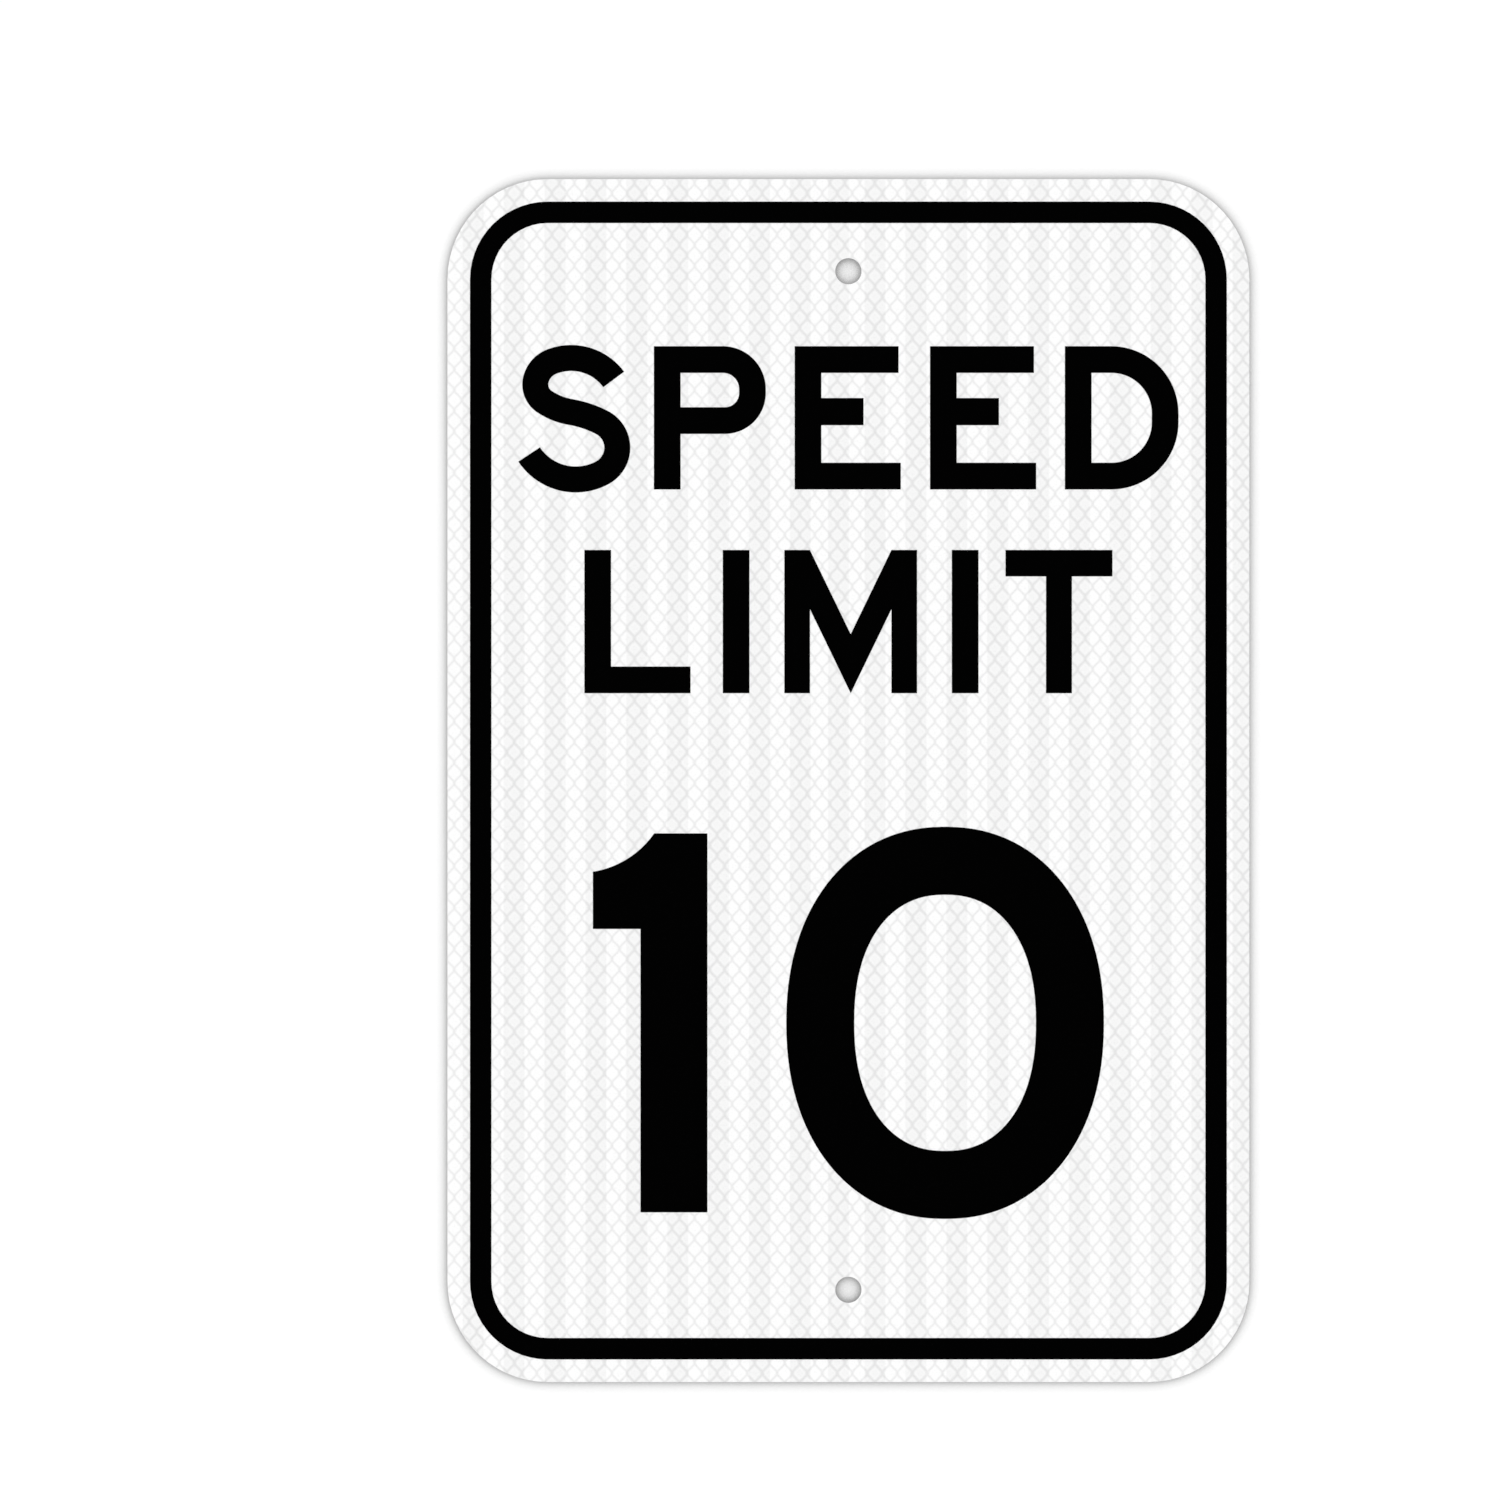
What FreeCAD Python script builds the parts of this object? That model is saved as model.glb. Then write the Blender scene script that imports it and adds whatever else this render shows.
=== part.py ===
import FreeCAD, Part
import math
import os

# A speed limit sign: one flat aluminium panel with rounded corners and two bolt holes,
# faced with reflective sheeting. A black border stripe and black numerals are printed on
# the sheeting.
# Frame: the sign stands upright, +Z is up, and its face looks towards -Y. The origin is
# the middle of the two bolt holes, on the plane of the bare back.
# All sizes are in millimetres.

# Panel
sign_width = 304.8
sign_height = 457.2
corner_radius = 38.1
blank_thickness = 1.0
edge_break = 0.15

# Layers on the face of the panel
sheeting_thickness = 0.45
print_thickness = 0.1

# Bolt holes, on the centre line, measured in from the top and bottom edges
hole_diameter = 10.0
hole_inset = 35.0

# Border stripe, measured in from the edge of the panel
border_margin = 8.6
border_stroke = 8.1

# Numerals, centred across the sign. Their foot is measured up from the bottom edge.
numeral_foot_height = 64.5
numeral_height = 144.0
numeral_gap = 30.0

# The 1: a stem, and a flag to its left with a hollow top
one_stem_width = 25.4
one_flag_reach = 18.1
one_flag_depth = 36.3
one_flag_tip_depth = 14.6
one_hollow_start = 5.2
one_hollow_radius = 35.4

# The 0: a ring between two ovals, whose squareness is 2 for a plain ellipse
zero_width = 120.7
zero_stroke = 25.8
zero_overshoot = 2.5
zero_outer_squareness = 2.17
zero_inner_squareness = 2.26
oval_points = 48

# Planes across the sign, from the back to the front
back_plane = 0.0
blank_front = back_plane - blank_thickness
sheeting_front = blank_front - sheeting_thickness
print_front = sheeting_front - print_thickness

# Places worked out from the sizes
hole_offset = sign_height / 2 - hole_inset
numeral_foot = numeral_foot_height - sign_height / 2
numeral_top = numeral_foot + numeral_height
one_left = -(one_flag_reach + one_stem_width + numeral_gap + zero_width) / 2
one_stem_left = one_left + one_flag_reach
one_stem_right = one_stem_left + one_stem_width
zero_centre = one_stem_right + numeral_gap + zero_width / 2


def point(x, z):
    """A point of a printed outline, on the front plane of the print."""
    return FreeCAD.Vector(x, print_front, z)


def rounded_slab(width, height, radius, front, thickness):
    """A flat upright slab about the centre line, with its four corners rounded."""
    slab = Part.makeBox(width, thickness, height,
                        FreeCAD.Vector(-width / 2, front, -height / 2))
    corners = [edge for edge in slab.Edges if edge.BoundBox.YLength > thickness / 2]
    return slab.makeFillet(radius, corners)


def punch_bolt_holes(solid):
    """Cuts the two bolt holes through all the layers."""
    run = 3 * (back_plane - print_front)
    for z in (hole_offset, -hole_offset):
        start = FreeCAD.Vector(0, back_plane - run / 2, z)
        punch = Part.makeCylinder(hole_diameter / 2, run, start, FreeCAD.Vector(0, 1, 0))
        solid = solid.cut(punch)
    return solid.Solids[0]


def printed_field(edges):
    """A field of black print on the sheeting, inside a closed loop of edges."""
    outline = Part.Wire(Part.sortEdges(edges)[0])
    return Part.Face(outline).extrude(FreeCAD.Vector(0, print_thickness, 0))


def oval(width, height, squareness):
    """A superellipse about the middle of the 0."""
    power = 2 / squareness
    centre_z = (numeral_foot + numeral_top) / 2
    points = []
    for step in range(oval_points):
        angle = 2 * math.pi * step / oval_points
        across = math.copysign(abs(math.cos(angle)) ** power, math.cos(angle))
        up = math.copysign(abs(math.sin(angle)) ** power, math.sin(angle))
        points.append(point(zero_centre + across * width / 2, centre_z + up * height / 2))
    curve = Part.BSplineCurve()
    curve.interpolate(Points=points, PeriodicFlag=True)
    return curve.toShape()


def sign_blank():
    """The aluminium panel. The edges round its bare back and holes are broken."""
    panel = punch_bolt_holes(rounded_slab(
        sign_width, sign_height, corner_radius, blank_front, blank_thickness))
    back = max(panel.Faces, key=lambda face: face.CenterOfMass.y)
    return panel.makeChamfer(edge_break, back.Edges)


def reflective_sheeting():
    """The white film over the whole face, cut and punched together with the panel."""
    return punch_bolt_holes(rounded_slab(
        sign_width, sign_height, corner_radius, sheeting_front, sheeting_thickness))


def border_stripe():
    """The printed frame line. Its corners share their centres with the panel's."""
    outer, inner = [
        rounded_slab(sign_width - 2 * inset, sign_height - 2 * inset,
                     corner_radius - inset, print_front, print_thickness)
        for inset in (border_margin, border_margin + border_stroke)]
    return outer.cut(inner).Solids[0]


def numeral_one():
    """The 1: straight edges, and one arc that hollows the top of the flag."""
    hollow_start = point(one_stem_left + one_hollow_start, numeral_top)
    flag_tip = point(one_left, numeral_top - one_flag_tip_depth)
    corners = [
        flag_tip,
        point(one_left, numeral_top - one_flag_depth),
        point(one_stem_left, numeral_top - one_flag_depth),
        point(one_stem_left, numeral_foot),
        point(one_stem_right, numeral_foot),
        point(one_stem_right, numeral_top),
        hollow_start,
    ]
    edges = [Part.LineSegment(start, end).toShape() for start, end in zip(corners, corners[1:])]
    chord = flag_tip - hollow_start
    bow = one_hollow_radius - math.sqrt(one_hollow_radius ** 2 - (chord.Length / 2) ** 2)
    inwards = FreeCAD.Vector(-chord.z, 0, chord.x).normalize()
    middle = (hollow_start + flag_tip) * 0.5 + inwards * bow
    edges.append(Part.Arc(hollow_start, middle, flag_tip).toShape())
    return printed_field(edges)


def numeral_zero():
    """The 0: a ring of one stroke that stands a little over the 1 at head and foot."""
    height = numeral_height + 2 * zero_overshoot
    outer = oval(zero_width, height, zero_outer_squareness)
    inner = oval(zero_width - 2 * zero_stroke, height - 2 * zero_stroke, zero_inner_squareness)
    return printed_field([outer]).cut(printed_field([inner])).Solids[0]


def main():
    os.makedirs("parts", exist_ok=True)
    for make in (sign_blank, reflective_sheeting, border_stripe, numeral_one, numeral_zero):
        solid = make()
        solid.exportStep("parts/" + make.__name__ + ".step")
        print(make.__name__, "valid", solid.isValid(), "solids", len(solid.Solids),
              "volume", round(solid.Volume, 2))


main()
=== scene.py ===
# %% [markdown]
# # A speed limit sign
# The real thing is a flat aluminium panel with a reflective film glued over its face and
# black ink printed on the film. The imported model already holds the panel, the film, the
# border and the two numerals at their true size. This lesson adds the two words above the
# numerals, and gives every surface its finish.
#
# The model comes first, because everything else is placed by it.

# %% Load the imported model
import math

import bmesh
import bpy
from mathutils import Matrix, Vector


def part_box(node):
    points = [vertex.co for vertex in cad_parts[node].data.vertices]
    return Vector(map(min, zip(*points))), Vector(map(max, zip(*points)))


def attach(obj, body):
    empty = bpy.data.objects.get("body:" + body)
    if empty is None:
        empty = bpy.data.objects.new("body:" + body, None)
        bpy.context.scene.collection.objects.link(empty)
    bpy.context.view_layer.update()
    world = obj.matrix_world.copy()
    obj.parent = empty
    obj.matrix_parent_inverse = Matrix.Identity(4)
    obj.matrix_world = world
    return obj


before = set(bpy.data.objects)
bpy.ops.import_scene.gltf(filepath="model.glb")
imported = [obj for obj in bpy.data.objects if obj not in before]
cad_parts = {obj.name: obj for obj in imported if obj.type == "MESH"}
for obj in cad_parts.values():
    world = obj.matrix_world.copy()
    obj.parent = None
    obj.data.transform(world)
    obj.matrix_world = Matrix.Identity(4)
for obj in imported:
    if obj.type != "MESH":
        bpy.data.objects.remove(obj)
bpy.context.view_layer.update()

MM = 0.001                     # Blender counts in metres
print("nodes:", sorted(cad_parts))

# %% [markdown]
# ## The camera
# The photo looks straight at the face, so the camera looks along +Y and isn't tilted. A long
# lens from far away keeps the sides of the panel hidden, as they are in the photo. The frame
# is as wide as the photo is at the face of the sign, and the sign hangs a little to the right
# of its middle, so the camera stands to the left of the sign's centre line and is raised.

# %% Set up the camera
photo_width = 570.1 * MM       # what the photo takes in, from side to side, at the face
photo_middle_x = -37.4 * MM    # the middle of the photo, from the sign's centre line
photo_middle_z = 11.6 * MM     # and from the middle of its bolt holes
lens_mm = 150
sensor_mm = 36

face_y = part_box("reflective_sheeting")[0].y
camera_distance = photo_width * lens_mm / sensor_mm

camera = bpy.data.objects.new("camera", bpy.data.cameras.new("camera"))
camera.data.lens = lens_mm
camera.data.sensor_width = sensor_mm
camera.location = (photo_middle_x, face_y - camera_distance, photo_middle_z)
camera.rotation_euler = (math.radians(90), 0, 0)
bpy.context.scene.collection.objects.link(camera)
bpy.context.scene.camera = camera
bpy.context.scene.view_settings.view_transform = "Standard"
print("camera is", round(camera_distance, 3), "m in front of the face")

# %% [markdown]
# ## Writing nodes
# A material is a tree of nodes. Placing each node by hand takes four or five lines, so small
# helpers do it. `put` adds one node and plugs values or other nodes' results into it. `calc`
# adds one Math node and hands back its result, so that a formula reads like a formula. `ramp`
# fades from one value to another while a number rises. `grey` turns a level of the photo
# into the colour to write, and `new_material` starts an empty tree.

# %% Helpers for node trees
def put(tree, kind, sockets=None, **settings):
    """Adds a node. Its sockets go by name or by number, and each is given a plain value or
    another node's output."""
    node = tree.nodes.new(kind)
    for name, value in settings.items():
        setattr(node, name, value)
    for name, value in (sockets or {}).items():
        if isinstance(value, bpy.types.NodeSocket):
            tree.links.new(value, node.inputs[name])
        else:
            node.inputs[name].default_value = value
    return node


def calc(tree, operation, *values):
    """Adds a Math node and returns its result."""
    return put(tree, "ShaderNodeMath", dict(enumerate(values)), operation=operation).outputs[0]


def ramp(tree, value, low, high, to_low=0.0, to_high=1.0):
    """Turns one range of a value into another, with a soft start and end."""
    return put(tree, "ShaderNodeMapRange", {
        "Value": value, "From Min": low, "From Max": high,
        "To Min": to_low, "To Max": to_high},
        interpolation_type="SMOOTHSTEP").outputs["Result"]


def grey(level):
    """The colour of a grey that shows as this level, from 0 to 255, under plain light."""
    # A picture stores levels on the sRGB curve. A node's colour is a plain amount of light.
    share = level / 255
    linear = share / 12.92 if share <= 0.04045 else ((share + 0.055) / 1.055) ** 2.4
    return (linear, linear, linear, 1)


def new_material(name):
    """An empty material, its node tree and its output node."""
    material = bpy.data.materials.new(name)
    material.use_nodes = True
    material.node_tree.nodes.clear()
    return material, material.node_tree, put(material.node_tree, "ShaderNodeOutputMaterial")


print("level 246 is written as", [round(part, 3) for part in grey(246)])

# %% [markdown]
# ## The light
# The photo's light is even all over the face and comes from no side. A white world gives
# just that: at a strength of about 1, a colour renders as it is written. The back of the
# panel is bare metal, and metal under even light looks like grey paint. So one soft lamp
# stands behind the sign, where it gives the metal a sheen and can't reach the face.

# %% Light the scene
world_strength = 1.024         # it makes up for the floor, which throws up a little less
lamp_width, lamp_height = 0.5, 1.6
lamp_watts = 5
lamp_place = Vector((-0.55, 1.5, 0.35))

world = bpy.data.worlds.new("studio")
world.use_nodes = True
world.node_tree.nodes.clear()
sky = put(world.node_tree, "ShaderNodeBackground", {
    "Color": (1, 1, 1, 1), "Strength": world_strength})
put(world.node_tree, "ShaderNodeOutputWorld", {"Surface": sky.outputs[0]})
bpy.context.scene.world = world

back_lamp = bpy.data.objects.new("back_lamp", bpy.data.lights.new("back_lamp", "AREA"))
back_lamp.data.shape = "RECTANGLE"
back_lamp.data.size = lamp_width
back_lamp.data.size_y = lamp_height
back_lamp.data.energy = lamp_watts
back_lamp.location = lamp_place
back_lamp.rotation_euler = (-lamp_place).to_track_quat("-Z", "Y").to_euler()
bpy.context.scene.collection.objects.link(back_lamp)
print("the lamp is", round(lamp_place.length, 2), "m from the sign")

# %% [markdown]
# ## The wall
# In the photo the sign lies close to a white ground, and all that shows of its thickness is
# a thin soft shadow round its outline and inside its holes. A wall just behind the panel
# catches that shadow. The Ambient Occlusion node measures how much of the open space in
# front of a point is shut off by the sign, which is what makes this shadow, and the wall
# glows white by as much as is left. Only the camera sees the wall, and only from the front:
# from behind, it would hide the bare back and shut off its light. The world is as white as
# the wall, so nothing shows where the wall ends, and it can end well above the floor.

# %% Build the wall
wall_gap = 0.95 * MM       # from the bare back to the wall
wall_size = 0.6            # it only has to be larger than the sign's shadow
shadow_reach = 15 * MM     # how far away the sign still shades the wall
shadow_depth = 1.42        # how much of the wall's white goes where all is shut off
wall_open_level = 1.085    # a wall with nothing near it is safely white
wall_darkest = 0.2         # and under the panel some light still comes through the gap
shadow_samples = 4         # the render takes many samples of its own, so a few will do


def stage_plane(name, size, place, material):
    """A flat square that isn't part of the object."""
    bm = bmesh.new()
    bmesh.ops.create_grid(bm, x_segments=1, y_segments=1, size=size / 2, matrix=place)
    mesh = bpy.data.meshes.new(name)
    bm.to_mesh(mesh)
    bm.free()
    mesh.materials.append(material)
    plane = bpy.data.objects.new(name, mesh)
    bpy.context.scene.collection.objects.link(plane)
    return plane


def wall_material():
    """White where the space in front is open, grey where the sign shuts it off."""
    material, tree, output = new_material("white_wall")
    open_share = put(tree, "ShaderNodeAmbientOcclusion", {"Distance": shadow_reach},
                     samples=shadow_samples)
    level = calc(tree, "MULTIPLY_ADD", open_share.outputs["AO"], shadow_depth,
                 wall_open_level - shadow_depth)
    lit = calc(tree, "MAXIMUM", level, wall_darkest)
    glow = put(tree, "ShaderNodeEmission", {"Color": (1, 1, 1, 1), "Strength": lit})
    unseen = put(tree, "ShaderNodeBsdfTransparent")
    from_camera = put(tree, "ShaderNodeLightPath").outputs["Is Camera Ray"]
    from_behind = put(tree, "ShaderNodeNewGeometry").outputs["Backfacing"]
    shown = calc(tree, "MULTIPLY", from_camera, calc(tree, "SUBTRACT", 1.0, from_behind))
    mixed = put(tree, "ShaderNodeMixShader", {0: shown, 1: unseen.outputs[0], 2: glow.outputs[0]})
    tree.links.new(mixed.outputs[0], output.inputs["Surface"])
    return material


back_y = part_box("sign_blank")[1].y
upright = Matrix.Rotation(math.radians(90), 4, "X")
wall_place = Matrix.Translation((0, back_y + wall_gap, 0)) @ upright
wall = stage_plane("wall", wall_size, wall_place, wall_material())
print("wall at y", round(wall.data.vertices[0].co.y / MM, 2), "mm")

# %% [markdown]
# ## The floor
# The floor lies further down. It is nearly white, so the light that it throws up on the face
# is nearly as bright as the light from above. To the camera it glows a little as well, and so
# does its reflection in the metal, which makes it the same white as the rest. A glow for
# these rays alone adds no light to the sign.

# %% Build the floor
floor_size = 12.0
floor_below = 220 * MM     # from the sign's lowest edge to the floor
floor_white = 0.97
floor_lift = 0.06          # what the floor glows, where it is seen directly or mirrored


def floor_material():
    """A pale floor that keeps the sign's shadow and reads as white, in the metal too."""
    material, tree, output = new_material("pale_floor")
    pale = put(tree, "ShaderNodeBsdfDiffuse", {
        "Color": (floor_white, floor_white, floor_white, 1)})
    ray = put(tree, "ShaderNodeLightPath").outputs
    mirrored = calc(tree, "MAXIMUM", ray["Is Glossy Ray"], ray["Is Transmission Ray"])
    seen = calc(tree, "MAXIMUM", ray["Is Camera Ray"], mirrored)
    lift = calc(tree, "MULTIPLY", seen, floor_lift)
    glow = put(tree, "ShaderNodeEmission", {"Color": (1, 1, 1, 1), "Strength": lift})
    both = put(tree, "ShaderNodeAddShader", {0: pale.outputs[0], 1: glow.outputs[0]})
    tree.links.new(both.outputs[0], output.inputs["Surface"])
    return material


lowest_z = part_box("sign_blank")[0].z
floor_place = Matrix.Translation((0, 0, lowest_z - floor_below))
floor = stage_plane("floor", floor_size, floor_place, floor_material())
print("floor at z", round(floor.data.vertices[0].co.z / MM, 1), "mm")

# %% [markdown]
# ## Node groups
# An effect that more than one material needs is built once, as a node group: a small tree
# with named inputs and outputs, which a material places like any other node. Every pattern
# here is told a place on the sign and gives back plain numbers. The face is flat, so most
# need only how far across and how far up the place is.

# %% Helpers for node groups
def new_group(name, inputs, outputs):
    """A node group with number inputs, a vector input called Place and number outputs."""
    group = bpy.data.node_groups.new(name, "ShaderNodeTree")
    group.interface.new_socket("Place", in_out="INPUT", socket_type="NodeSocketVector")
    for socket_name, value in inputs.items():
        socket = group.interface.new_socket(
            socket_name, in_out="INPUT", socket_type="NodeSocketFloat")
        socket.default_value = value
    for socket_name in outputs:
        group.interface.new_socket(socket_name, in_out="OUTPUT", socket_type="NodeSocketFloat")
    return group, put(group, "NodeGroupInput").outputs, put(group, "NodeGroupOutput").inputs


def across_and_up(tree, place):
    """A point's distances from the sign's centre across and up, in mm."""
    parts = put(tree, "ShaderNodeSeparateXYZ", {0: place}).outputs
    return calc(tree, "DIVIDE", parts["X"], MM), calc(tree, "DIVIDE", parts["Z"], MM)


print("helpers for groups:", new_group.__name__, "and", across_and_up.__name__)

# %% [markdown]
# ## The seams of the film
# The white film is made of tiny prisms under a clear skin. The skin is sealed to the backing
# along thin grey seams, and between them lie the shining cells. Seen close, a cell is a
# hexagon: two short upright seams at its sides, and four slanted ones. The pattern could be
# modelled, but it is thousands of cells and only a hair deep, so it is a formula in a node
# group. The ink lies over the same seams, so the group is built once and used twice.
#
# The formula folds the whole face onto a quarter of one cell. Two slanted counts, u and v,
# rise by one from a cell to the next. Their fractions say where a point lies in its cell,
# and taking them as plain distances from the cell's middle folds left on right and bottom
# on top. What is left is the distance to one slanted and two upright seams.

# %% Group for the seams of the film
cell_width = 5.7093            # from cell to cell, across, in mm
cell_height = 7.8677           # from cell to cell, up
cell_phase_u = 0.112           # where the pattern starts on this sign
cell_phase_v = 0.370
upright_seam_length = 1.05
upright_seam_extra = 0.18      # an upright seam is this much wider to each side
corner_softness = 0.25         # how far the corners of a cell are rounded


def seam_group():
    """Gives the distance from the nearest seam, and a random number for each cell."""
    tree, given, result = new_group("film_seams", {}, ["From Seam", "Cell Number"])
    x, z = across_and_up(tree, given["Place"])
    across = calc(tree, "DIVIDE", x, cell_width)
    up = calc(tree, "DIVIDE", z, cell_height)
    u = calc(tree, "ADD", calc(tree, "SUBTRACT", across, up), cell_phase_u)
    v = calc(tree, "ADD", calc(tree, "ADD", across, up), cell_phase_v)

    in_u = calc(tree, "SUBTRACT", calc(tree, "FRACT", u), 0.5)
    in_v = calc(tree, "SUBTRACT", calc(tree, "FRACT", v), 0.5)
    half_sum = calc(tree, "ABSOLUTE", calc(tree, "ADD", in_u, in_v))
    half_gap = calc(tree, "ABSOLUTE", calc(tree, "SUBTRACT", in_v, in_u))
    side = calc(tree, "MULTIPLY", half_sum, cell_width / 2)
    rise = calc(tree, "MULTIPLY", half_gap, cell_height / 2)

    # The slanted seam runs from the top of one upright seam to the foot of the next.
    half_upright = upright_seam_length / 2
    upright_foot = cell_height / 2 - half_upright
    run_side, run_up = cell_width / 2, upright_foot - half_upright
    run = math.hypot(run_side, run_up)
    slant_side, slant_up = run_up / run, run_side / run
    slant_offset = slant_up * upright_foot
    along = calc(tree, "ADD", calc(tree, "MULTIPLY", side, slant_side),
                 calc(tree, "MULTIPLY", rise, slant_up))
    slanted = calc(tree, "ABSOLUTE", calc(tree, "SUBTRACT", along, slant_offset))

    def from_upright(side_gap, beyond_end):
        """The distance from an upright seam, made smaller by its extra width."""
        end_gap = calc(tree, "MAXIMUM", beyond_end, 0.0)
        squares = calc(tree, "ADD", calc(tree, "MULTIPLY", side_gap, side_gap),
                       calc(tree, "MULTIPLY", end_gap, end_gap))
        return calc(tree, "SUBTRACT", calc(tree, "SQRT", squares), upright_seam_extra)

    side_gap = calc(tree, "ABSOLUTE", calc(tree, "SUBTRACT", side, cell_width / 2))
    beside = from_upright(side_gap, calc(tree, "SUBTRACT", rise, half_upright))
    above = from_upright(side, calc(tree, "SUBTRACT", upright_foot, rise))
    nearest = calc(tree, "SMOOTH_MIN", slanted, beside, corner_softness)
    nearest = calc(tree, "SMOOTH_MIN", nearest, above, corner_softness)
    tree.links.new(nearest, result["From Seam"])

    cell = put(tree, "ShaderNodeCombineXYZ", {
        0: calc(tree, "FLOOR", u), 1: calc(tree, "FLOOR", v)})
    number = put(tree, "ShaderNodeTexWhiteNoise", {"Vector": cell.outputs[0]})
    tree.links.new(number.outputs["Value"], result["Cell Number"])
    return tree


film_seams = seam_group()
print("seam pattern:", len(film_seams.nodes), "nodes, cells of",
      cell_width, "by", cell_height, "mm")

# %% [markdown]
# ## The bands of the film
# The prisms stand in upright strips that are turned by turns one way and the other, so one
# strip throws back more light than the next. Bright and grey strips are nearly of one width,
# but two bright ones near the middle of this sign are narrower. A count that starts again
# with each pair of strips makes them: a narrow strip comes from sliding the count on by what
# the strip lacks, once inside it.

# %% Group for the bands of the film
# The bright and grey bands are painted reflection: how much light each strip of prisms throws
# back is written into the colour.
band_pair = 15.54              # one bright band and one grey band, in mm
bright_band = 7.6
band_start = -14.3             # the left edge of the first narrow bright band
narrow_places = [(-10.95, 1.0), (3.35, 1.7)]   # where a band is narrow, and by how much
band_blur = 0.8                # from full grey to full white


def band_group():
    """Gives 1 in a bright band and 0 in a grey one, with soft edges."""
    tree, given, result = new_group("film_bands", {}, ["Bright"])
    x, _ = across_and_up(tree, given["Place"])
    slid = calc(tree, "SUBTRACT", x, band_start)
    for place, lack in narrow_places:
        past = calc(tree, "GREATER_THAN", x, place)
        slid = calc(tree, "MULTIPLY_ADD", past, lack, slid)
    # The count starts again half a pair to the left of a bright band's middle.
    counted = calc(tree, "ADD", slid, band_pair / 2 - bright_band / 2)
    in_pair = calc(tree, "MULTIPLY", calc(tree, "FRACT", calc(
        tree, "DIVIDE", counted, band_pair)), band_pair)
    from_middle = calc(tree, "ABSOLUTE", calc(tree, "SUBTRACT", in_pair, band_pair / 2))
    inside = calc(tree, "SUBTRACT", bright_band / 2, from_middle)
    bright = ramp(tree, inside, -band_blur / 2, band_blur / 2)
    tree.links.new(bright, result["Bright"])
    return tree


film_bands = band_group()
print("band pattern:", len(film_bands.nodes), "nodes, a pair every", band_pair, "mm")

# %% [markdown]
# ## Fine grain
# No real surface is quite even. Rolled metal has long fine lines, a screened ink dries with
# a soft ripple, and the film has a faint grain. All are the same noise, stretched or not, so
# one group makes them. It is told how many grains there are to a metre, how far they are
# drawn out, and how far each slips past its neighbour. Without a slip, long grains would lie
# side by side in rows.

# %% Group for grain
finer_layers = 3.0             # how many layers of finer noise lie over the first one
layer_strength = 0.55          # and how strong each of them is beside the one before


def grain_group():
    """Gives a noise from 0 to 1, stretched along the sign's height. Slip is how far each
    grain starts past its neighbour, in grain lengths."""
    tree, given, result = new_group(
        "surface_grain", {"Grains Per Metre": 1000, "Stretch": 1.0, "Slip": 0.0}, ["Grain"])
    per_metre = given["Grains Per Metre"]
    parts = put(tree, "ShaderNodeSeparateXYZ", {0: given["Place"]}).outputs
    across = calc(tree, "MULTIPLY", parts["X"], per_metre)
    deep = calc(tree, "MULTIPLY", parts["Y"], per_metre)
    along = calc(tree, "DIVIDE", calc(tree, "MULTIPLY", parts["Z"], per_metre), given["Stretch"])
    slipped = calc(tree, "MULTIPLY_ADD", across, given["Slip"], along)
    drawn = put(tree, "ShaderNodeCombineXYZ", {0: across, 1: deep, 2: slipped})
    noise = put(tree, "ShaderNodeTexNoise", {
        "Vector": drawn.outputs[0], "Scale": 1.0, "Detail": finer_layers,
        "Roughness": layer_strength})
    tree.links.new(noise.outputs["Fac"], result["Grain"])
    return tree


surface_grain = grain_group()
print("grain:", len(surface_grain.nodes), "nodes")

# %% [markdown]
# ## From a pattern to a finish
# A group gives plain numbers, and a material turns them into colours and roughness. It
# places the group with its own values, and blends two colours by the number that comes out.
# Each of the two steps is a helper.

# %% Helpers for materials
def use_group(tree, group, place, **values):
    """Places a node group in a material and returns its outputs."""
    sockets = {name.replace("_", " "): value for name, value in values.items()}
    sockets["Place"] = place
    return put(tree, "ShaderNodeGroup", sockets, node_tree=group).outputs


def blend(tree, share, low, high):
    """Mixes two colours, or two results that are colours."""
    # A Mix node has sockets for each kind of value. Its inputs 6 and 7 and its output 2 are
    # for colours, and its inputs 2 and 3 and its output 0 are for numbers.
    return put(tree, "ShaderNodeMix", {0: share, 6: low, 7: high}, data_type="RGBA").outputs[2]


def blend_numbers(tree, share, low, high):
    """Mixes two numbers in the same way."""
    return put(tree, "ShaderNodeMix", {0: share, 2: low, 3: high}, data_type="FLOAT").outputs[0]


print("groups to use:", [group.name for group in (film_seams, film_bands, surface_grain)])

# %% [markdown]
# ## The white film
# Bright bands and grey bands have three greys each, for the seam, the cell and the middle of
# the cell, because a cell is brightest just inside its seam and dips a little towards its
# middle. They are written as the levels at which they show. A grey band's seams are a little
# wider. No two cells are quite alike, and a fine grain darkens the film here and there.
#
# The skin over a cell is smooth, and a seam is duller and pressed in by a hair, so the same
# distance from the seam also drives the roughness and the bump.

# %% Material for the film
bright_levels = {"seam": 236.4, "cell": 255.0, "middle": 253.6}
grey_levels = {"seam": 228.4, "cell": 248.6, "middle": 245.6}
bright_seam = {"half_width": 0.39, "blur": 0.76}   # in mm; it fades by half at half_width
grey_seam = {"half_width": 0.46, "blur": 0.92}
middle_fade = (0.8, 1.8)       # how far from a seam, in mm, the middle fades in
cell_difference = 1.0          # how many levels apart the darkest and lightest cells are
grain_difference = 6.0         # how many levels the darkest grain takes away
grain_peaks = (0.5, 0.72)      # only the peaks of the grain darken the film
light_per_level = 2.2 / 255    # how much of its light a white loses with each level
film_grains = 1500             # in a metre
seam_roughness, cell_roughness = 0.42, 0.2
seam_depth = 0.03 * MM
seam_relief = 0.35             # how much of that depth shows in the light
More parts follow.
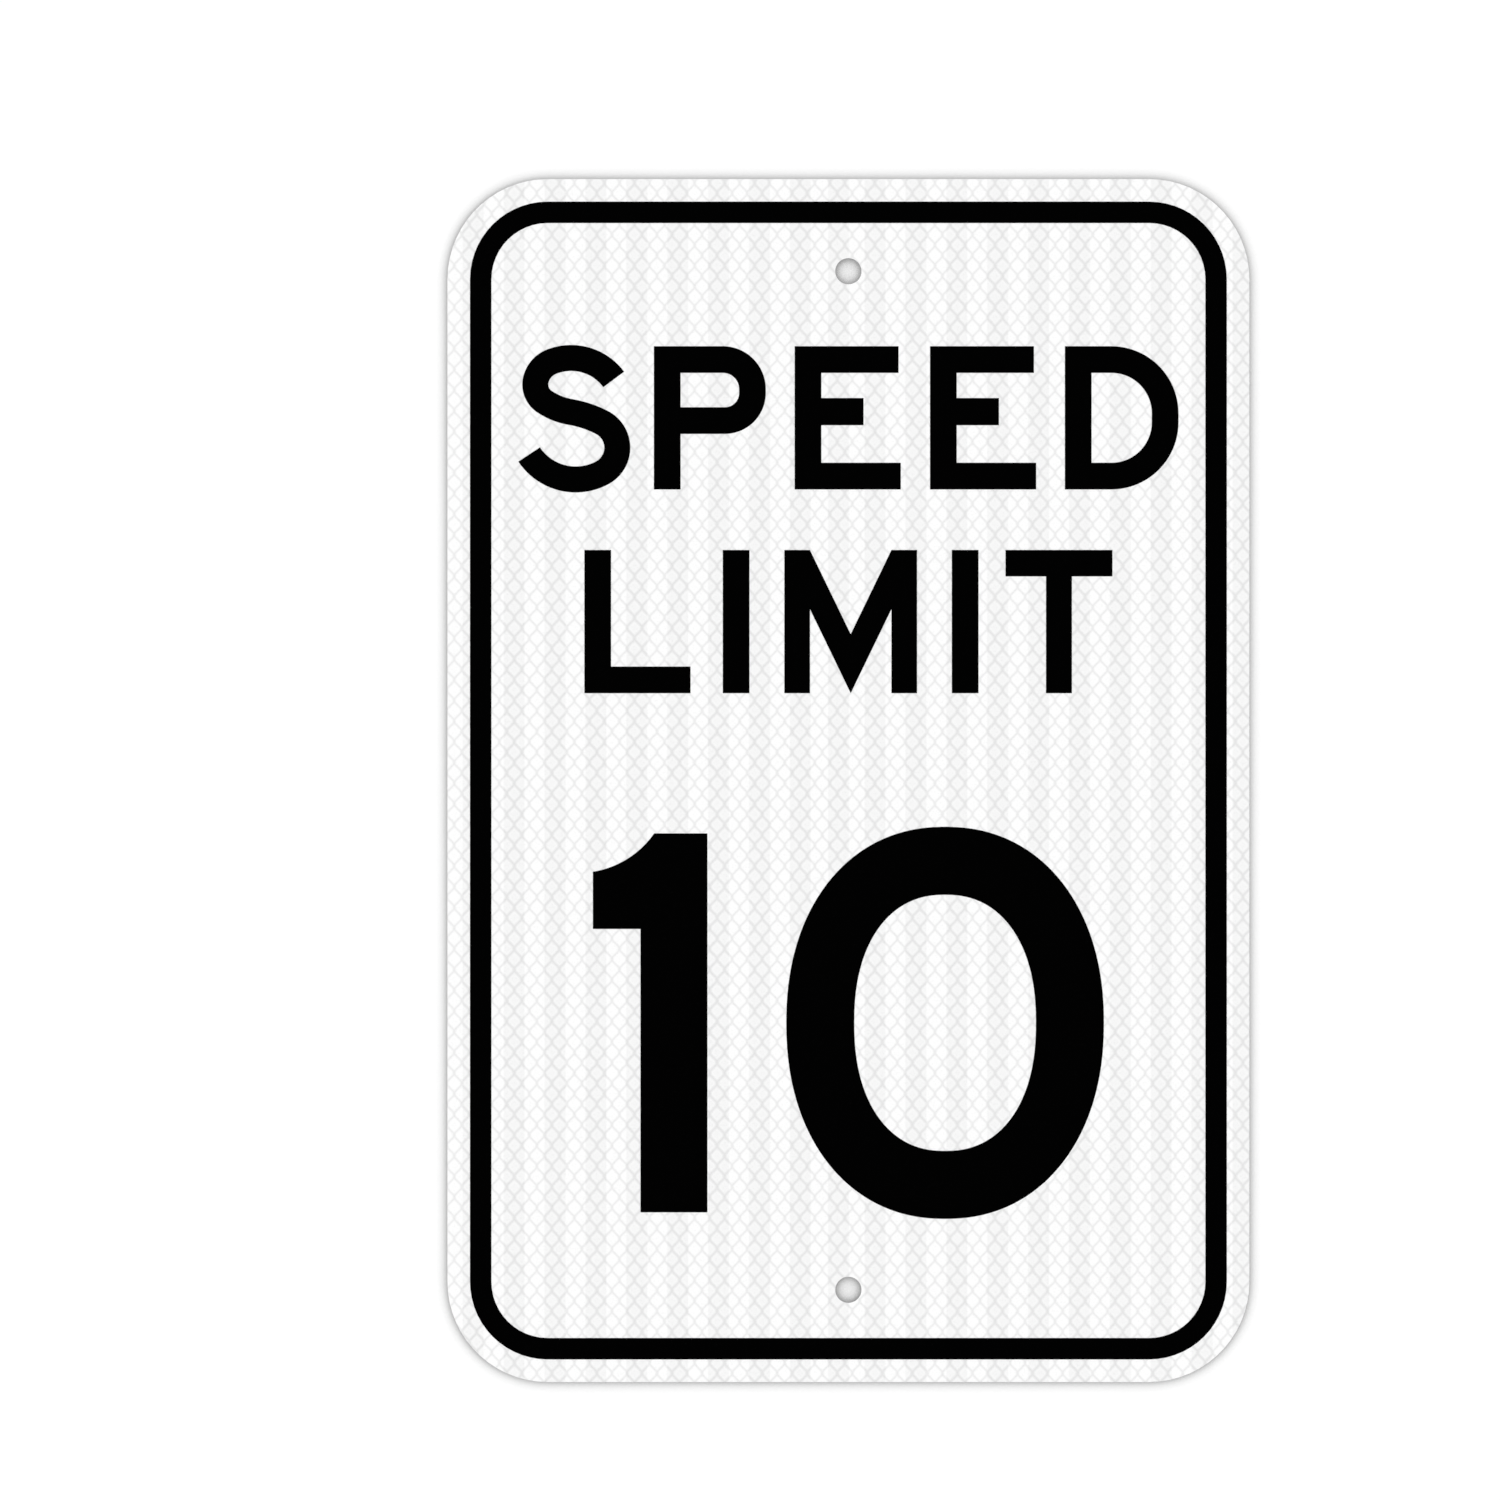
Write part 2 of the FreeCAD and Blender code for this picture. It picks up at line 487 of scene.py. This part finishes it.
skin_ior = 1.49                # how strongly clear acrylic bends light


def darker_by(tree, value, levels):
    """The share of its light that a point loses, from none to this many levels."""
    return calc(tree, "MULTIPLY", value, light_per_level * levels)


def film_material():
    """White reflective film with sealed cells and upright bands."""
    material, tree, output = new_material("white_film")
    place = put(tree, "ShaderNodeTexCoord").outputs["Object"]
    seams = use_group(tree, film_seams, place)
    bright = use_group(tree, film_bands, place)["Bright"]
    from_seam = seams["From Seam"]
    in_middle = ramp(tree, from_seam, *middle_fade)

    def band_colour(levels, seam):
        """The colour of one kind of band, and where its cells are."""
        in_cell = ramp(tree, from_seam, seam["half_width"] - seam["blur"] / 2,
                       seam["half_width"] + seam["blur"] / 2)
        cell = blend(tree, in_middle, grey(levels["cell"]), grey(levels["middle"]))
        return blend(tree, in_cell, grey(levels["seam"]), cell), in_cell

    bright_part, in_cell = band_colour(bright_levels, bright_seam)
    grey_part, _ = band_colour(grey_levels, grey_seam)
    # Painted reflection: the bands' brightness goes into the film's colour.
    colour = blend(tree, bright, grey_part, bright_part)
    grain = use_group(tree, surface_grain, place, Grains_Per_Metre=film_grains)["Grain"]
    uneven = calc(tree, "ADD", darker_by(tree, seams["Cell Number"], cell_difference),
                  darker_by(tree, ramp(tree, grain, *grain_peaks), grain_difference))
    varied = put(tree, "ShaderNodeVectorMath", {
        0: colour, "Scale": calc(tree, "SUBTRACT", 1.0, uneven)},
        operation="SCALE").outputs["Vector"]

    bump = put(tree, "ShaderNodeBump", {
        "Height": in_cell, "Strength": seam_relief, "Distance": seam_depth})
    shader = put(tree, "ShaderNodeBsdfPrincipled", {
        "Base Color": varied,
        "Roughness": ramp(tree, in_cell, 0, 1, seam_roughness, cell_roughness),
        "Normal": bump.outputs[0], "IOR": skin_ior})
    tree.links.new(shader.outputs[0], output.inputs["Surface"])
    return material


white_film = film_material()
print("film:", len(white_film.node_tree.nodes), "nodes")

# %% [markdown]
# ## The black ink
# The ink is the darkest thing in the photo and shows no shine, so its colour is close to
# nothing and its reflection is kept very low. It is thin: the seams below it still show as
# a faint relief when light rakes over it, and its own surface has a soft ripple.

# %% Material for the ink
ink_dark = (0.0002, 0.0002, 0.0002, 1)
ink_light = (0.0005, 0.0005, 0.0005, 1)
ink_roughness = (0.28, 0.45)
ink_shine = 0.004              # next to nothing, where most surfaces have 0.5
ripples = 900                  # in a metre
ripple_span = (0.2, 0.8)       # the part of the ripple's noise that changes the roughness
buried_fade = (0.0, 1.0)       # how far from a seam, in mm, the ink rises from it
relief_depth = 0.02 * MM       # of the seams and of the ripple alike
buried_relief, ripple_relief = 0.3, 0.25       # how much of that depth shows in the light


def ink_material():
    """Dense black screen ink over the film."""
    material, tree, output = new_material("black_ink")
    place = put(tree, "ShaderNodeTexCoord").outputs["Object"]
    from_seam = use_group(tree, film_seams, place)["From Seam"]
    over_cell = ramp(tree, from_seam, *buried_fade)
    ripple = use_group(tree, surface_grain, place, Grains_Per_Metre=ripples)["Grain"]
    relief = put(tree, "ShaderNodeBump", {
        "Height": over_cell, "Strength": buried_relief, "Distance": relief_depth})
    surface = put(tree, "ShaderNodeBump", {
        "Height": ripple, "Strength": ripple_relief, "Distance": relief_depth,
        "Normal": relief.outputs[0]})
    shader = put(tree, "ShaderNodeBsdfPrincipled", {
        "Base Color": blend(tree, ripple, ink_dark, ink_light),
        "Roughness": ramp(tree, ripple, *ripple_span, *ink_roughness),
        "Normal": surface.outputs[0], "Specular IOR Level": ink_shine})
    tree.links.new(shader.outputs[0], output.inputs["Surface"])
    return material


black_ink = ink_material()
print("ink:", len(black_ink.node_tree.nodes), "nodes")

# %% [markdown]
# ## The bare aluminium
# The back is metal as it leaves the rolling mill: long fine lines all one way, some of them
# brighter, and broad soft clouds. Round the outline and in the holes the metal was cut by a
# punch, which leaves a rougher face. The normal tells the two apart: it points along Y on
# the back and across it on a cut edge.

# %% Material for the metal
dark_line, bright_line = (0.44, 0.45, 0.465, 1), (0.62, 0.63, 0.645, 1)
cloud = (0.48, 0.49, 0.505, 1)
cut_edge = (0.52, 0.525, 0.535, 1)
line_roughness = (0.46, 0.36)  # of a dark line and of a bright one
cut_roughness = 0.5
lines_per_metre, line_stretch, line_slip = 2200, 120.0, 0.37
clouds_per_metre, cloud_stretch = 14, 2.0
cloud_cover = 0.7              # how much of the lines' colour a cloud takes away
noise_span = (0.3, 0.7)        # nearly all of a noise lies between these
back_fade = (0.5, 0.9)         # how much along Y the normal points where the back takes over
line_depth = 0.02 * MM
line_relief = 0.2              # how much of that depth shows in the light


def metal_material():
    """Mill-finish aluminium sheet with punched edges."""
    material, tree, output = new_material("mill_aluminium")
    texture = put(tree, "ShaderNodeTexCoord").outputs
    place = texture["Object"]
    lines = use_group(tree, surface_grain, place, Grains_Per_Metre=lines_per_metre,
                      Stretch=line_stretch, Slip=line_slip)["Grain"]
    clouds = use_group(tree, surface_grain, place, Grains_Per_Metre=clouds_per_metre,
                       Stretch=cloud_stretch)["Grain"]
    out_of_face = put(tree, "ShaderNodeSeparateXYZ", {0: texture["Normal"]}).outputs["Y"]
    on_back = ramp(tree, calc(tree, "ABSOLUTE", out_of_face), *back_fade)

    in_line = ramp(tree, lines, *noise_span)
    in_cloud = ramp(tree, clouds, *noise_span, 0.0, cloud_cover)
    rolled = blend(tree, in_cloud, blend(tree, in_line, dark_line, bright_line), cloud)
    rolled_roughness = ramp(tree, lines, *noise_span, *line_roughness)
    roughness = blend_numbers(tree, on_back, cut_roughness, rolled_roughness)
    bump = put(tree, "ShaderNodeBump", {
        "Height": lines, "Strength": line_relief, "Distance": line_depth})
    shader = put(tree, "ShaderNodeBsdfPrincipled", {
        "Base Color": blend(tree, on_back, cut_edge, rolled), "Metallic": 1.0,
        "Roughness": roughness, "Normal": bump.outputs[0]})
    tree.links.new(shader.outputs[0], output.inputs["Surface"])
    return material


mill_aluminium = metal_material()
print("metal:", len(mill_aluminium.node_tree.nodes), "nodes")

# %% [markdown]
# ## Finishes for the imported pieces
# The panel, the film and the printed pieces keep the shapes that they came with. Only the
# material in each one's slot is exchanged.

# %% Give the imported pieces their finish
finishes = {
    "sign_blank": mill_aluminium,
    "reflective_sheeting": white_film,
    "border_stripe": black_ink,
    "numeral_one": black_ink,
    "numeral_zero": black_ink,
}
for name, finish in finishes.items():
    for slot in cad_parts[name].material_slots:
        slot.material = finish
    print(name, "is now", finish.name, "in", len(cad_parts[name].material_slots), "slot")

# %% [markdown]
# ## Drawing letters with a broad pen
# Road lettering has nearly the same stroke all through, as if it was drawn with a broad nib
# that stays square to its path. A font would bring its own shapes, and a traced outline
# would be a long list of points. So each letter is drawn: an edge of the mesh is the nib,
# extruding it draws a straight stroke, and spinning it about a point draws a bend. Seen from
# the front, a positive bend turns left.

# %% A pen made of one edge
bend_step = math.radians(4)    # a bend is drawn in steps that are no larger
towards_viewer = Vector((0, -1, 0))
print_front_y, print_back_y = [corner.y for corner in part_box("numeral_one")]


class Pen:
    """A nib at the end of a flat stroke. It draws on from there."""

    def __init__(self, bm, nib, heading):
        self.bm = bm
        self.nib = nib
        self.heading = math.radians(heading)

    def middle(self):
        return (self.nib.verts[0].co + self.nib.verts[1].co) / 2

    def along(self, turned=0.0):
        """The direction of the stroke, or one turned left from it."""
        angle = self.heading + math.radians(turned)
        return Vector((math.cos(angle), 0, math.sin(angle)))

    def slide(self, offset):
        """Draws a straight stroke by moving the nib along an offset, and returns the pen."""
        grown = bmesh.ops.extrude_edge_only(self.bm, edges=[self.nib])["geom"]
        ends = [part for part in grown if isinstance(part, bmesh.types.BMVert)]
        bmesh.ops.translate(self.bm, verts=ends, vec=offset)
        self.nib = self.bm.edges.get(ends)
        return self

    def straight(self, length):
        """Draws a straight stroke of a length in mm."""
        return self.slide(self.along() * length * MM)

    def bend(self, radius, degrees):
        """Draws a bend. The radius, in mm, is that of the middle of the stroke."""
        turn = math.radians(degrees)
        centre = self.middle() + self.along(math.copysign(90, degrees)) * radius * MM
        steps = math.ceil(abs(turn) / bend_step)
        spun = bmesh.ops.spin(self.bm, geom=[self.nib], cent=centre, axis=towards_viewer,
                              angle=turn, steps=steps, use_duplicate=False)
        self.nib = next(part for part in spun["geom_last"]
                        if isinstance(part, bmesh.types.BMEdge))
        self.heading += turn
        return self


print("ink lies from y", round(print_front_y / MM, 2), "to", round(print_back_y / MM, 2), "mm")

# %% [markdown]
# ## The bar of a letter
# All letters but the S have a straight bar that the other strokes leave. Strokes that only
# overlap it would leave walls inside the letter once it is made solid. So the bar is cut
# across where an arm leaves it, and the arm grows out of the bar's own edge, which makes the
# letter one clean sheet.

# %% A bar and its nibs
to_right, upwards, downwards = Vector((1, 0, 0)), Vector((0, 0, 1)), Vector((0, 0, -1))
weld = 1e-6                    # in metres, how close points are that count as one


def bar(bm, left, foot, width, height):
    """An upright rectangle of print, given by its left foot and its size, in mm."""
    middle = Vector((left + width / 2, 0, foot + height / 2)) * MM
    middle.y = print_front_y
    size = Matrix.Diagonal((width / 2 * MM, height / 2 * MM, 1, 1))
    bmesh.ops.create_grid(bm, x_segments=1, y_segments=1, size=1,
                          matrix=Matrix.Translation(middle) @ upright @ size)


def nibs(bm, cuts, axis, side):
    """Cuts a letter's bar at some places along an axis, and returns the edges between the
    cuts on one side of the bar, as nibs in order."""
    for place in cuts:
        bmesh.ops.bisect_plane(bm, geom=bm.verts[:] + bm.edges[:] + bm.faces[:],
                               plane_co=axis * place * MM, plane_no=axis)
    outermost = max(vert.co.dot(side) for vert in bm.verts)
    edges = [edge for edge in bm.edges if all(
        outermost - vert.co.dot(side) < weld for vert in edge.verts)]
    return sorted(edges, key=lambda edge: sum(vert.co.dot(axis) for vert in edge.verts))


print("helpers for bars:", bar.__name__, "and", nibs.__name__)

# %% [markdown]
# ## The round letters
# Every letter is drawn with its foot at zero. The P and the D are a bar and a bowl: the pen
# leaves the top of the bar, turns right twice and comes back. The S has no bar. Its nib
# starts at the top end and takes four bends to the left, to the middle of the letter, and
# then three to the right.

# %% Draw the round letters
cap_height = 54.4
stroke = 10.1


def letter_s(bm):
    """Each of its bends is given as its radius in mm and its degrees."""
    nib_width = 9.85
    start, heading = Vector((36.2, 0, 41.8)), 126.6
    left_bends = [(20.2, 74.8), (9.9, 54.5), (7.8, 69.7), (24.7, 24.9)]
    right_bends = [(41.2, 17.7), (10.8, 124.2), (21.25, 85.0)]
    leftwards = math.radians(heading + 90)
    half_nib = Vector((math.cos(leftwards), 0, math.sin(leftwards))) * nib_width / 2
    ends = [bm.verts.new((start + half_nib * side) * MM) for side in (1, -1)]
    for end in ends:
        end.co.y = print_front_y
    pen = Pen(bm, bm.edges.new(ends), heading)
    for radius, degrees in left_bends:
        pen.bend(radius, degrees)
    for radius, degrees in right_bends:
        pen.bend(radius, -degrees)


def letter_p(bm):
    """The bowl is a little rounder above than below, so its two arms differ in length."""
    upper_arm, upper_radius, side, lower_radius = 16.1, 11.25, 1.45, 10.5
    lower_arm = upper_arm + upper_radius - lower_radius
    lower_foot = cap_height - stroke - upper_radius - side - lower_radius
    bar(bm, 0, 0, stroke, cap_height)
    cuts = [lower_foot, lower_foot + stroke, cap_height - stroke]
    _, lower, _, top = nibs(bm, cuts, upwards, to_right)
    Pen(bm, lower, 0).straight(lower_arm)
    pen = Pen(bm, top, 0).straight(upper_arm).bend(upper_radius, -90)
    pen.straight(side).bend(lower_radius, -90)


def letter_d(bm):
    arm, bowl_radius = 7.55, 20.45
    side = cap_height - stroke - 2 * bowl_radius
    bar(bm, 0, 0, stroke, cap_height)
    _, _, top = nibs(bm, [stroke, cap_height - stroke], upwards, to_right)
    pen = Pen(bm, top, 0).straight(arm).bend(bowl_radius, -90)
    pen.straight(side).bend(bowl_radius, -90).straight(arm)


letters = {"S": letter_s, "P": letter_p, "D": letter_d}
print("round letters:", "".join(letters))

# %% [markdown]
# ## The straight letters
# The other letters are bars and arms. An arm's reach is counted from the letter's left side.
# The M is drawn by half, as a stem and a slanted stroke that slides down from its shoulder,
# and mirrored.

# %% Draw the straight letters
def letter_e(bm):
    top_reach, middle_reach, foot_reach = 39.45, 26.15, 40.3
    middle_arm, middle_stroke = 24.4, 10.3
    bar(bm, 0, 0, stroke, cap_height)
    cuts = [stroke, middle_arm, middle_arm + middle_stroke, cap_height - stroke]
    foot, _, middle, _, top = nibs(bm, cuts, upwards, to_right)
    Pen(bm, foot, 0).straight(foot_reach - stroke)
    Pen(bm, middle, 0).straight(middle_reach - stroke)
    Pen(bm, top, 0).straight(top_reach - stroke)


def letter_l(bm):
    foot_reach = 40.3
    bar(bm, 0, 0, stroke, cap_height)
    foot, _ = nibs(bm, [stroke], upwards, to_right)
    Pen(bm, foot, 0).straight(foot_reach - stroke)


def letter_i(bm):
    bar(bm, 0, 0, stroke, cap_height)


def letter_m(bm):
    half_width, stem, crotch = 25.2, 9.7, 32.0
    bar(bm, -half_width, 0, stem, cap_height)
    _, shoulder = nibs(bm, [crotch], upwards, to_right)
    Pen(bm, shoulder, 0).slide(Vector((half_width - stem, 0, -crotch)) * MM)
    bmesh.ops.mirror(bm, geom=bm.verts[:] + bm.edges[:] + bm.faces[:], axis="X",
                     merge_dist=weld)


def letter_t(bm):
    width, top_stroke, stem = 40.6, 10.0, 9.8
    bar(bm, 0, cap_height - top_stroke, width, top_stroke)
    _, middle, _ = nibs(bm, [(width - stem) / 2, (width + stem) / 2], to_right, downwards)
    Pen(bm, middle, -90).straight(cap_height - top_stroke)


letters.update({"E": letter_e, "L": letter_l, "I": letter_i, "M": letter_m, "T": letter_t})
print("all letters:", "".join(letters))

# %% [markdown]
# ## The two words
# Even gaps would look uneven, because a round or open letter seems to stand further off. So
# each letter has its own gap to the one before. A word's letters are put side by side,
# centred on the sign, and then the flat sheet is pulled back on to the film, which closes
# it into a thin solid just like the numerals.

# %% Put the words on the sign
def make_word(name, gaps, foot):
    """Draws a word whose letters stand on a foot line. gaps gives each letter in turn and
    its distance from the letter before, in mm."""
    word = bmesh.new()
    right = 0.0
    for letter, gap in gaps:
        sheet = bmesh.new()
        letters[letter](sheet)
        bmesh.ops.remove_doubles(sheet, verts=sheet.verts[:], dist=weld)
        low = min(vert.co.x for vert in sheet.verts)
        high = max(vert.co.x for vert in sheet.verts)
        bmesh.ops.translate(sheet, verts=sheet.verts[:], vec=(right + gap * MM - low, 0, 0))
        right += gap * MM + high - low
        # One bmesh can't take in another, so a mesh carries the letter over to the word.
        carrier = bpy.data.meshes.new("carrier")
        sheet.to_mesh(carrier)
        sheet.free()
        word.from_mesh(carrier)
        bpy.data.meshes.remove(carrier)
    bmesh.ops.translate(word, verts=word.verts[:], vec=(-right / 2, 0, foot * MM))

    grown = bmesh.ops.extrude_face_region(word, geom=word.faces[:])["geom"]
    back = [part for part in grown if isinstance(part, bmesh.types.BMVert)]
    bmesh.ops.translate(word, verts=back, vec=(0, print_back_y - print_front_y, 0))
    bmesh.ops.recalc_face_normals(word, faces=word.faces[:])
    open_edges = sum(not edge.is_manifold for edge in word.edges)

    mesh = bpy.data.meshes.new(name)
    word.to_mesh(mesh)
    word.free()
    mesh.materials.append(black_ink)
    piece = bpy.data.objects.new(name, mesh)
    bpy.context.scene.collection.objects.link(piece)
    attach(piece, "root")
    print(name, "is", round(right / MM, 2), "mm wide, with", len(mesh.polygons),
          "faces and", open_edges, "open edges")


speed_gaps = [("S", 0), ("P", 9.0), ("E", 11.0), ("E", 11.15), ("D", 10.95)]
limit_gaps = [("L", 0), ("I", 12.3), ("M", 13.3), ("I", 13.25), ("T", 10.3)]
upper_foot, lower_foot = 110.65, 33.2          # above the middle of the bolt holes
make_word("legend_speed", speed_gaps, upper_foot)
make_word("legend_limit", limit_gaps, lower_foot)
